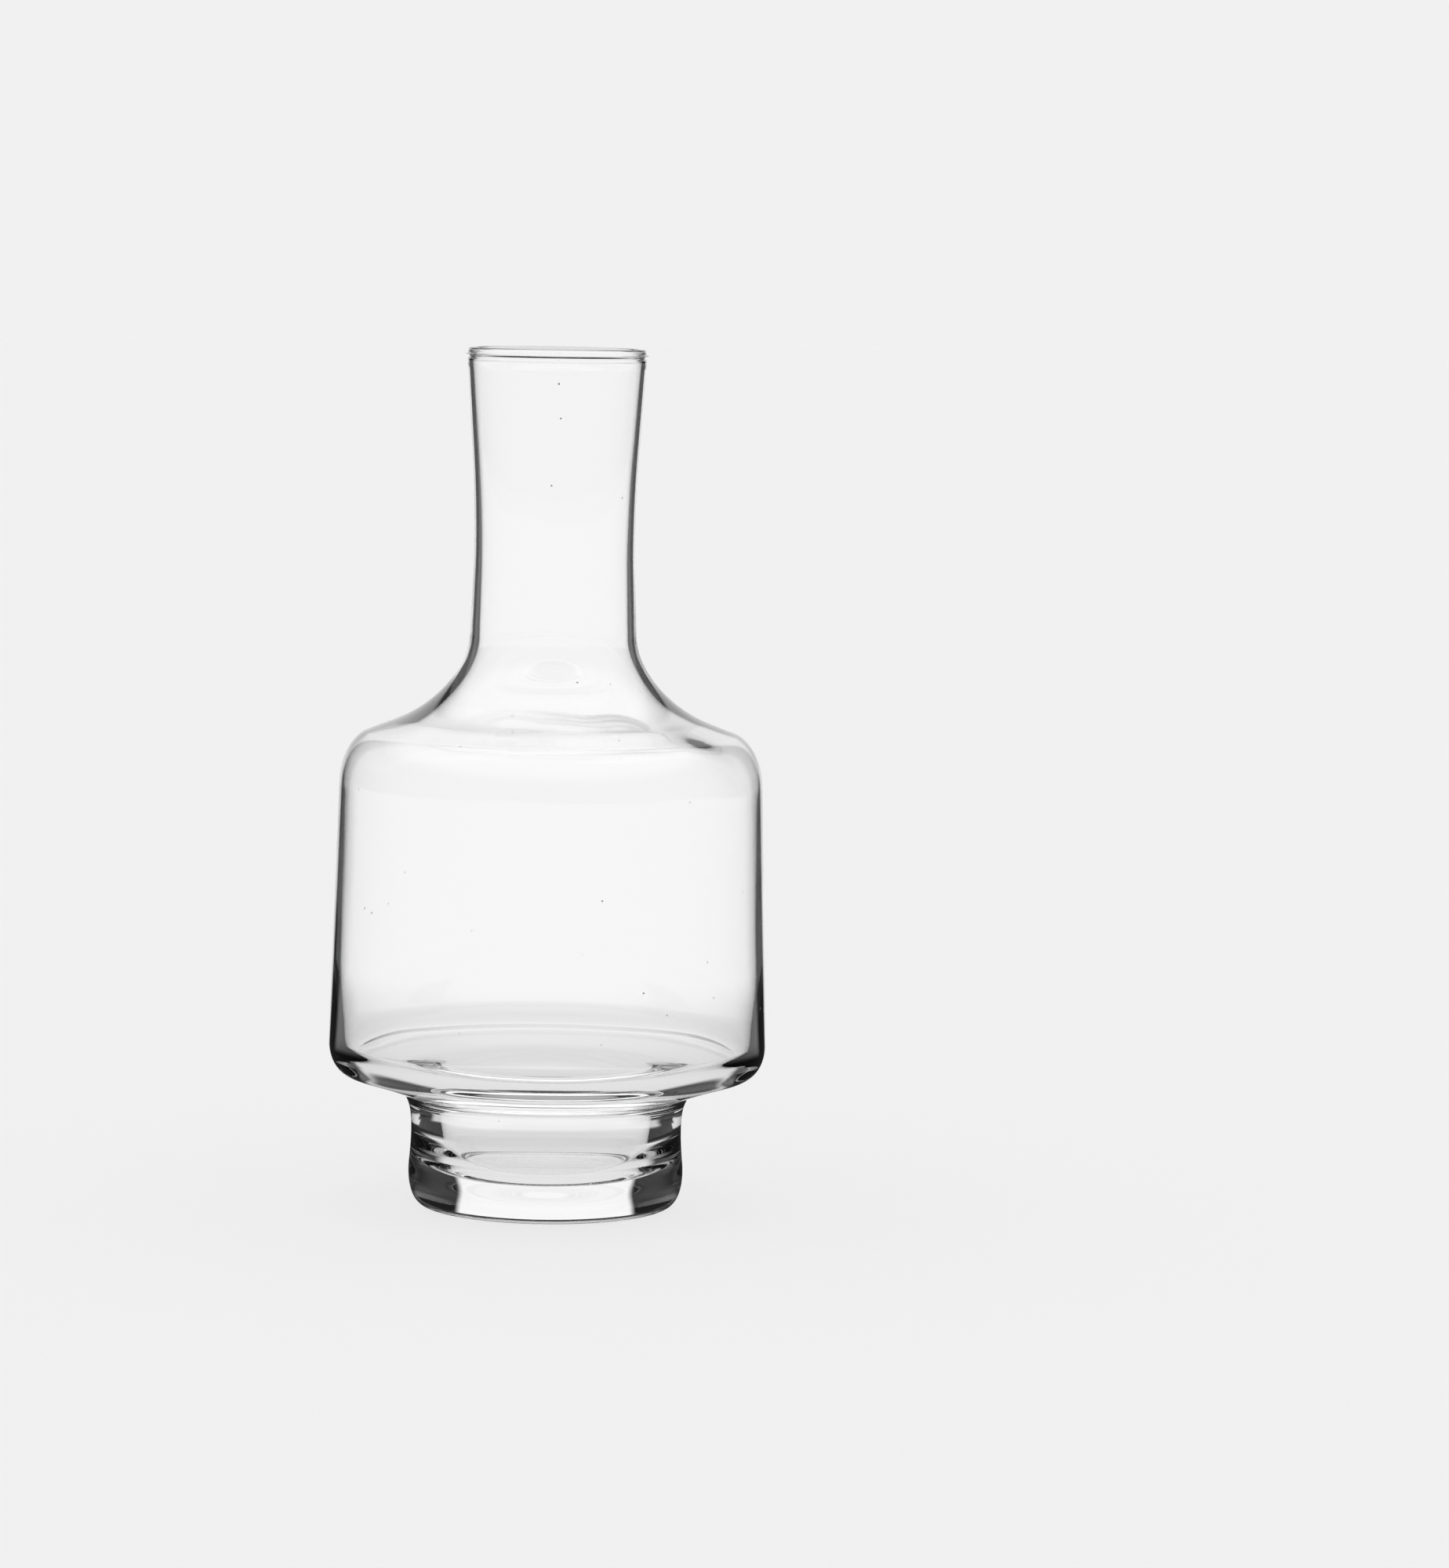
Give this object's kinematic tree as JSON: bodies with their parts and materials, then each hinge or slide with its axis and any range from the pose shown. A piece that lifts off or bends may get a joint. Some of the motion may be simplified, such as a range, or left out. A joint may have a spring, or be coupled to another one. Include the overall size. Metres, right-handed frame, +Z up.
{
  "type": "carafe",
  "caption": "Clear glass carafe: waisted foot with a liquid well, wide cylindrical body, domed shoulder and a long neck that flares to a rounded bead.",
  "frame": {"origin": "centre of the flat underside that the carafe stands on", "axes": "+Z up along the axis of revolution, towards the mouth; X and Y are alike"},
  "size_m": [0.1276, 0.1276, 0.25],
  "materials": {
    "clear_glass": "clear soda-lime glass, fire-polished, smooth inside and out"
  },
  "bodies": {
    "root": {"base": "clear_glass", "foot": "clear_glass", "heel": "clear_glass", "body": "clear_glass", "shoulder": "clear_glass", "throat": "clear_glass", "neck": "clear_glass", "rim": "clear_glass"}
  },
  "joints": []
}
